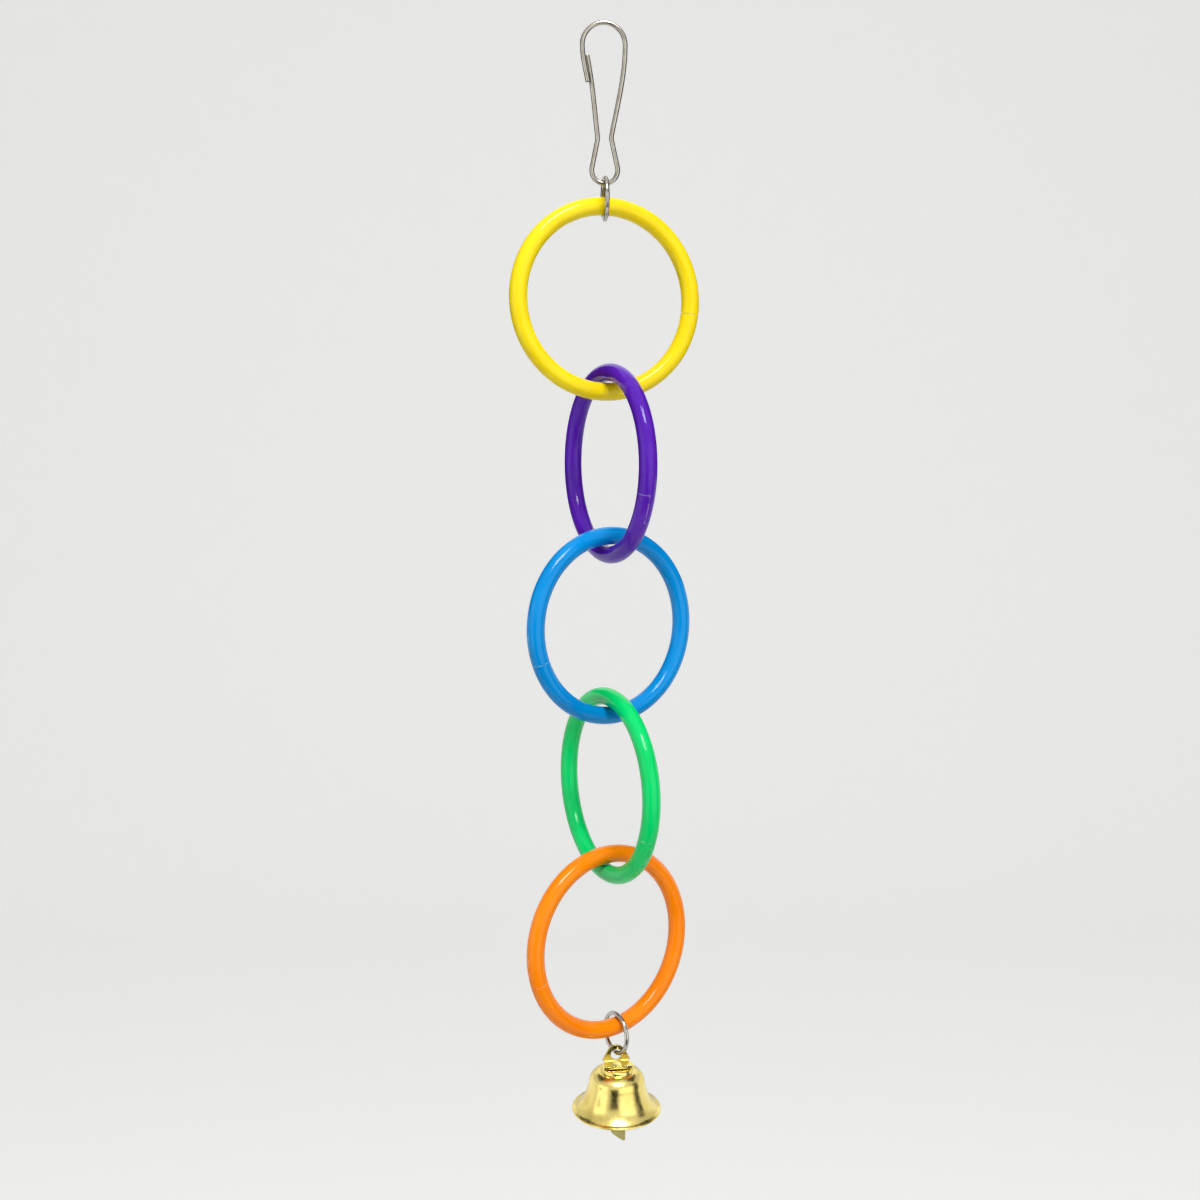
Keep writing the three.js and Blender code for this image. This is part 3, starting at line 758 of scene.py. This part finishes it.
# Clapper: a flat stamped tongue of the same sheet. Its neck is curled loosely round the strip under
# the tab's eye, and its lower end is sheared on a slant.
CLAPPER_SHEET = 0.5
CLAPPER_LENGTH = 16.4
CURL_RADIUS = 1.25
CURL_DROP = 0.2
NECK_HALF = 0.5
NECK_END = 3.7
FLARE_END = 8.2
TONGUE_HALF = 2.1
TONGUE_SLANT = 3
TONGUE_CORNERS = (1.7, 1.1)
TONGUE_CORNER_STEPS = 8
CURL_START = 252
CURL_SWEEP = 312
CURL_STEPS = 24
FLARE_STEPS = 14
NECK_TURN = ((0.3, -1.66), (0.1, -1.95), (0, -2.4))
CLAPPER_ARRIS = 0.08

strip_level = foot_bottom - TAB_DROP + TAB_STRIP / 2
strip_place = bell_place @ Matrix.Translation((0, -EAR_BACK, strip_level))
clapper_place = strip_place @ Matrix.Rotation(-math.radians(BELL_TILT), 4, "X")

# Brass plate that has been left as it was struck: duller and greener than the bell's
dull_brass = new_finish(
    "dull_brass_plate",
    {"Metallic": 1},
    {
        "Base Color": (2, 3, [(0.3, "#b5aa62"), (0.7, "#d3c883")]),
        "Roughness": (1, 4, (0.26, 0.42)),
    },
)

# (depth, height, half width) of the strip's stations, from the curl's free end down to the slanted end
stations = []
for depth, height in arc((0, -CURL_DROP), CURL_RADIUS, CURL_START, CURL_START - CURL_SWEEP, CURL_STEPS):
    stations.append((depth, height, NECK_HALF))
stations += [(depth, height, NECK_HALF) for depth, height in NECK_TURN]
for i in range(FLARE_STEPS + 1):
    t = i / FLARE_STEPS
    eased = t * t * (3 - 2 * t)
    half = NECK_HALF + (TONGUE_HALF - NECK_HALF) * eased
    stations.append((0, -NECK_END + (NECK_END - FLARE_END) * t, half))
stations.append((0, TONGUE_SLANT / 2 - CLAPPER_LENGTH, TONGUE_HALF))

bm = bmesh.new()
depth, height, half = stations[0]
pair = [bm.verts.new((x, depth, height)) for x in (-half, half)]
edge = [bm.edges.new(pair)]
for depth, height, half in stations[1:]:
    verts, edge = extend(bm, edge)
    for vert in verts:
        vert.co = Vector((math.copysign(half, vert.co.x), depth, height))
for vert in verts:
    vert.co.z -= math.copysign(TONGUE_SLANT / 2, vert.co.x)
for vert, corner in zip(sorted(verts, key=lambda v: v.co.x), TONGUE_CORNERS):
    round_off(bm, [vert], corner, TONGUE_CORNER_STEPS, "VERTICES")
bmesh.ops.transform(bm, matrix=clapper_place, verts=bm.verts)
clapper = finish_piece(bm, "clapper_tongue", [dull_brass], "clapper", ["clapper"])
thicken(clapper, CLAPPER_SHEET)
soften_edges(clapper, CLAPPER_ARRIS)


# Studio: a pale sheet that is the floor under the toy and curves up into the backdrop behind it, a key
# light above the camera, a large soft light on each side, and black and white cards for the metal to
# reflect. Its lengths are in metres.
FLOOR_LEVEL = -0.9
FLOOR_FRONT = -12.0
BACKDROP_WIDTH = 24
BACKDROP_AWAY = 3.6
BACKDROP_BEND = 1.4
BACKDROP_STEPS = 15
BACKDROP_TOP = 9.0
PAPER_COLOUR = "#ebebea"
PAPER_GLOW = 0.55
WORLD_COLOUR = "#f1f1f1"
WORLD_FILL = 0.36
WORLD_SEEN = 0.86
CARD_CORNERS = ((-1, -1), (1, -1), (1, 1), (-1, 1))
LOW_CARD_SIZE = (1.1, 0.9)
LOW_CARD_LEVEL = -0.8
LOW_CARD_FRONT = -0.95
KEY_AWAY = 1.3

toy_middle = Vector((0, 0, -0.14))
key_way = Vector((0.11, -0.58, 0.81))


def seen_rays(tree):
    """1 for a ray of the camera, a reflected one or one that a surface lets through, and 0 for others."""
    rays = add_node(tree, "ShaderNodeLightPath")
    seen = rays.outputs["Is Camera Ray"]
    for way in ("Is Glossy Ray", "Is Transmission Ray"):
        either = add_node(tree, "ShaderNodeMath", {"operation": "MAXIMUM"}, {0: seen, 1: rays.outputs[way]})
        seen = either.outputs[0]
    return seen


# Pale paper that also shows a little light of its own to the camera and in reflections, so that it looks
# as even where the lamps do not reach, while the toy gets no light from it
paper = new_finish(
    "backdrop_paper",
    {
        "Roughness": 0.9,
        "Specular IOR Level": 0.1,
        "Base Color": linear(PAPER_COLOUR),
        "Emission Color": linear(PAPER_COLOUR),
    },
)
tree = paper.node_tree
glow = add_node(tree, "ShaderNodeMapRange", {"To Max": PAPER_GLOW}, {"Value": seen_rays(tree)})
tree.links.new(glow.outputs[0], tree.nodes["Principled BSDF"].inputs["Emission Strength"])

bm = bmesh.new()
bend_start = BACKDROP_AWAY - BACKDROP_BEND
rise = arc((bend_start, FLOOR_LEVEL + BACKDROP_BEND), BACKDROP_BEND, -90, 0, BACKDROP_STEPS)
run = [(FLOOR_FRONT, FLOOR_LEVEL), *rise, (BACKDROP_AWAY, BACKDROP_TOP)]
verts = [bm.verts.new((-BACKDROP_WIDTH / 2, y, z)) for y, z in run]
edges = [bm.edges.new(pair) for pair in zip(verts, verts[1:])]
bmesh.ops.translate(bm, vec=(BACKDROP_WIDTH, 0, 0), verts=extend(bm, edges)[0])
for face in bm.faces:
    face.smooth = True
add_mesh(bm, "floor_and_backdrop", [paper])


def around(azimuth, distance):
    """A point of the plan, at an angle in degrees to the right for someone who faces the toy."""
    angle = math.radians(azimuth)
    return (distance * math.sin(angle), -distance * math.cos(angle))


def face_toy(thing, place):
    """Puts a card or lamp at a place, turned to the middle of the toy."""
    thing.location = place
    thing.rotation_mode = "QUATERNION"
    thing.rotation_quaternion = (toy_middle - Vector(place)).to_track_quat("-Z", "Y")


def hidden_card(name, corners, finish):
    """A flat card that only the metal and gloss reflect."""
    bm = bmesh.new()
    bm.faces.new([bm.verts.new(corner) for corner in corners])
    card = add_mesh(bm, name, [finish])
    card.visible_camera = False
    card.visible_diffuse = False
    card.visible_shadow = False
    return card


# Black paper stands upright in runs between two points of the plan: each as azimuth and distance, then the
# run's lower and upper edge
BLACK_CARDS = {
    "front_card": ((-24, 1.4), (4, 1.3), -0.75, 0.0),
    "right_card": ((72, 1.2), (94, 1.2), -0.85, 0.5),
    "left_card": ((-62, 1.0), (-70, 1.0), -0.4, -0.15),
    "near_right_card": ((86, 0.18), (152, 0.18), -0.13, 0.12),
    "near_left_card": ((-86, 0.18), (-152, 0.18), -0.13, 0.12),
}
black = {"Roughness": 0.9, "Specular IOR Level": 0.1, "Base Color": linear("#1c1b1a")}
black_paper = new_finish("black_paper", black)
for name, (start, end, low, high) in BLACK_CARDS.items():
    start, end = around(*start), around(*end)
    hidden_card(name, [(*start, low), (*end, low), (*end, high), (*start, high)], black_paper)
width, length = LOW_CARD_SIZE
lying = [(x * width / 2, LOW_CARD_FRONT + y * length / 2, LOW_CARD_LEVEL) for x, y in CARD_CORNERS]
hidden_card("low_card", lying, black_paper)

# White cards under light of their own, which face the toy: middle, size and strength
WHITE_CARDS = {
    "high_front_card": ((*around(-8, 1.4), 0.35), (1.0, 0.5), 0.9),
    "overhead_card": ((0, 0.1, 1.15), (2.4, 2.0), 0.85),
    "high_back_card": ((0, 1.0, 0.62), (1.5, 0.8), 1.2),
    "left_side_card": ((*around(-120, 1.3), -0.35), (1.4, 1.1), 1.05),
    "right_side_card": ((*around(124, 1.3), -0.35), (1.4, 1.1), 1.05),
}
for name, (place, size, strength) in WHITE_CARDS.items():
    lit_paper = bpy.data.materials.new(name)
    tree = empty_tree(lit_paper)
    light = add_node(tree, "ShaderNodeEmission", {"Strength": strength})
    add_node(tree, "ShaderNodeOutputMaterial", links={"Surface": light.outputs[0]})
    card = hidden_card(name, [(x * size[0] / 2, y * size[1] / 2, 0) for x, y in CARD_CORNERS], lit_paper)
    face_toy(card, place)

# Soft lamps: middle, size and power in watts
LAMPS = {
    "key_light": (toy_middle + key_way * KEY_AWAY, (0.5, 0.4), 15),
    "right_light": ((*around(37, 1.5), -0.15), (1.5, 1.3), 6.0),
    "left_light": ((*around(-58, 1.5), -0.15), (1.2, 1.3), 4.6),
}
for name, (place, size, power) in LAMPS.items():
    lamp = bpy.data.lights.new(name, "AREA")
    lamp.shape = "RECTANGLE"
    lamp.size, lamp.size_y = size
    lamp.energy = power
    light = add_object(name, lamp)
    light.visible_camera = False
    face_toy(light, place)

world = bpy.data.worlds.new("studio")
bpy.context.scene.world = world
tree = empty_tree(world)
settings = {"To Min": WORLD_FILL, "To Max": WORLD_SEEN}
strength = add_node(tree, "ShaderNodeMapRange", settings, {"Value": seen_rays(tree)})
settings = {"Color": linear(WORLD_COLOUR)}
sky = add_node(tree, "ShaderNodeBackground", settings, {"Strength": strength.outputs[0]})
add_node(tree, "ShaderNodeOutputWorld", links={"Surface": sky.outputs[0]})

# The camera stands level with the purple ring, about 400 mm in front, and looks down a little
CAMERA_LENS = 47.7
CAMERA_SENSOR = 36
CAMERA_NEAREST = 0.01
CAMERA_PLACE = (-2.071, -399.7, -107.41)
CAMERA_PITCH = 4.828
CAMERA_ROLL = -0.485

pitch = math.radians(CAMERA_PITCH)
ahead = Vector((0, math.cos(pitch), -math.sin(pitch)))
level = Vector((1, 0, 0))
upright = Vector((0, math.sin(pitch), math.cos(pitch)))
roll = math.radians(CAMERA_ROLL)
right = level * math.cos(roll) + upright * math.sin(roll)
up = upright * math.cos(roll) - level * math.sin(roll)
camera = add_object("camera", bpy.data.cameras.new("camera"))
camera.data.sensor_width = CAMERA_SENSOR
camera.data.lens = CAMERA_LENS
camera.data.clip_start = CAMERA_NEAREST
camera.rotation_mode = "QUATERNION"
camera.rotation_quaternion = Matrix((right, up, -ahead)).transposed().to_quaternion()
camera.location = Vector(CAMERA_PLACE) * MM
bpy.context.scene.camera = camera
bpy.context.scene.view_settings.view_transform = "Standard"
